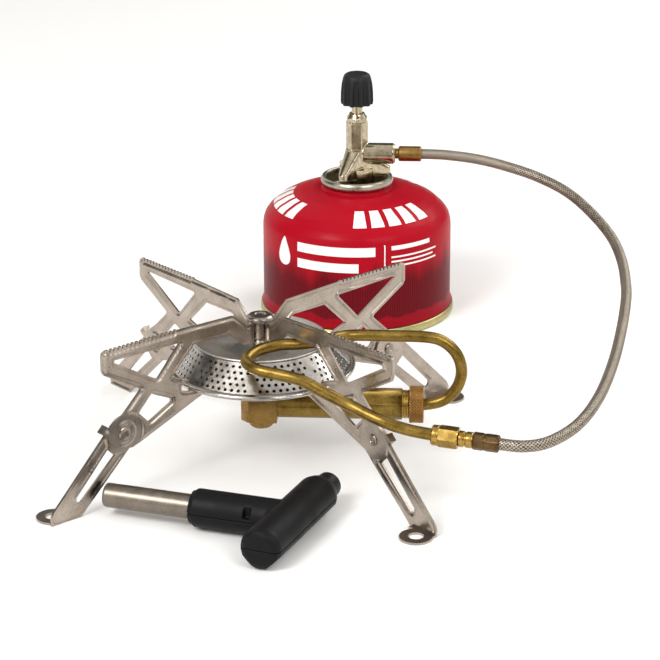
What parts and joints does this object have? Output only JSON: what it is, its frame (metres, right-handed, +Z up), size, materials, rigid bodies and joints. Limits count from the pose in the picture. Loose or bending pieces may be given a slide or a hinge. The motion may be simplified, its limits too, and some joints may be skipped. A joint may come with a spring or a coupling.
{
  "type": "canister stove",
  "caption": "Folding pot stand and gas burner with a preheat tube, fed by a braided hose from a valve on a gas canister, with a loose T-handled lighter.",
  "frame": {"origin": "on the ground plane, under the burner's axis, at the centre of the foot rings' circle", "axes": "+Z up; +X from the burner along its mixing tube; +Y from the burner towards the canister's side; the lighter lies on the -Y side"},
  "size_m": [0.2394, 0.3411, 0.1163],
  "materials": {
    "stamped_steel": "satin stamped stainless sheet",
    "polished_steel": "polished stainless sheet",
    "burner_steel": "turned and drawn stainless",
    "tube_brass": "drawn brass, slightly tarnished",
    "block_brass": "machined brass",
    "nut_brass": "diamond-knurled brass",
    "fitting_brass": "machined brass, pale",
    "bronze_sleeve": "dark bronze crimp sleeve",
    "steel_braid": "fine woven wire braid",
    "nickel": "nickel-plated, polished",
    "rubber": "black rubber",
    "black_plastic": "moulded, matt black",
    "black_gloss": "moulded, smooth black",
    "cream_plastic": "moulded and ceramic, off-white",
    "red_paint": "gloss printed red over a dark maroon band",
    "tin_steel": "tinned steel",
    "lighter_steel": "rolled steel tube, satin"
  },
  "bodies": {
    "stove": {"burner_bowl": "polished_steel", "burner_cone": "burner_steel", "burner_base": "polished_steel", "centre_post": "burner_steel", "post_nut": "burner_steel", "hub_washer": "burner_steel", "burner_neck": "block_brass", "brass_block": "block_brass", "bottom_plug": "block_brass", "mixing_tube": "tube_brass", "jet_holder": "tube_brass", "jet": "tube_brass", "tube_olive": "tube_brass", "preheat_tube": "tube_brass", "connector_nut": "fitting_brass", "hose_ferrule": "fitting_brass", "hose_sleeve": "bronze_sleeve", "hose": "steel_braid", "outlet_ferrule": "fitting_brass", "valve_body": "nickel", "gland_nut": "nickel", "coupling_seal": "rubber", "valve_pin": "burner_steel"},
    "leg_front_left": {"leg_front_left": "stamped_steel", "rivet_front_left": "burner_steel"},
    "lower_leg_front_left": {"lower_leg_front_left": "stamped_steel"},
    "leg_front_right": {"leg_front_right": "stamped_steel", "rivet_front_right": "burner_steel"},
    "lower_leg_front_right": {"lower_leg_front_right": "stamped_steel"},
    "leg_rear_left": {"leg_rear_left": "stamped_steel", "rivet_rear_left": "burner_steel"},
    "lower_leg_rear_left": {"lower_leg_rear_left": "stamped_steel"},
    "leg_rear_right": {"leg_rear_right": "stamped_steel", "rivet_rear_right": "burner_steel"},
    "lower_leg_rear_right": {"lower_leg_rear_right": "stamped_steel"},
    "nut": {"knurled_nut": "nut_brass"},
    "control": {"knob": "black_plastic", "spindle": "nickel", "spindle_seal": "rubber"},
    "canister": {"canister_shell": "red_paint", "canister_base": "tin_steel", "base_rim": "tin_steel", "canister_collar": "tin_steel", "canister_valve": "tin_steel", "canister_stem": "rubber", "canister_spring": "burner_steel"},
    "lighter": {"lighter_tube": "lighter_steel", "lighter_grip_upper": "black_plastic", "lighter_grip_lower": "black_plastic", "lighter_spring": "burner_steel", "lighter_piezo": "cream_plastic", "lighter_insulator": "cream_plastic", "lighter_electrode": "burner_steel"},
    "button": {"lighter_button": "black_gloss"}
  },
  "joints": [
    {"name": "swing_front_left", "type": "hinge", "parent": "stove", "child": "leg_front_left", "pos_m": [0, 0, 0.0343], "axis": [0, 0, 1], "range_deg": [-30, 0]},
    {"name": "swing_front_right", "type": "hinge", "parent": "stove", "child": "leg_front_right", "pos_m": [0, 0, 0.0343], "axis": [0, 0, 1], "range_deg": [0, 30]},
    {"name": "swing_rear_left", "type": "hinge", "parent": "stove", "child": "leg_rear_left", "pos_m": [0, 0, 0.0343], "axis": [0, 0, 1], "range_deg": [0, 30]},
    {"name": "swing_rear_right", "type": "hinge", "parent": "stove", "child": "leg_rear_right", "pos_m": [0, 0, 0.0343], "axis": [0, 0, 1], "range_deg": [-30, 0]},
    {"name": "fold_front_left", "type": "hinge", "parent": "leg_front_left", "child": "lower_leg_front_left", "pos_m": [-0.04985, -0.04985, 0.0298], "axis": [0.7071, -0.7071, 0], "range_deg": [0, 110]},
    {"name": "fold_front_right", "type": "hinge", "parent": "leg_front_right", "child": "lower_leg_front_right", "pos_m": [0.04985, -0.04985, 0.0298], "axis": [0.7071, 0.7071, 0], "range_deg": [0, 110]},
    {"name": "fold_rear_left", "type": "hinge", "parent": "leg_rear_left", "child": "lower_leg_rear_left", "pos_m": [-0.04985, 0.04985, 0.0298], "axis": [-0.7071, -0.7071, 0], "range_deg": [0, 110]},
    {"name": "fold_rear_right", "type": "hinge", "parent": "leg_rear_right", "child": "lower_leg_rear_right", "pos_m": [0.04985, 0.04985, 0.0298], "axis": [-0.7071, 0.7071, 0], "range_deg": [0, 110]},
    {"name": "nut_turn", "type": "hinge", "parent": "stove", "child": "nut", "pos_m": [0.064, 0, 0.0243], "axis": [1, 0, 0], "continuous": true},
    {"name": "knob_turn", "type": "hinge", "parent": "stove", "child": "control", "pos_m": [0.03, 0.183, 0.102], "axis": [0, 0, 1], "range_deg": [0, 720]},
    {"name": "canister_unscrew", "type": "hinge", "parent": "stove", "child": "canister", "pos_m": [0.03, 0.183, 0], "axis": [0, 0, 1], "range_deg": [-360, 0]},
    {"name": "lighter_draw", "type": "slide", "parent": "stove", "child": "lighter", "axis": [0, -1, 0], "range_m": [0, 0.1]},
    {"name": "button_press", "type": "slide", "parent": "lighter", "child": "button", "axis": [-0.342, -0.9397, 0], "range_m": [0, 0.0035], "stiffness_N_per_m": 900, "springref_m": -0.001}
  ]
}
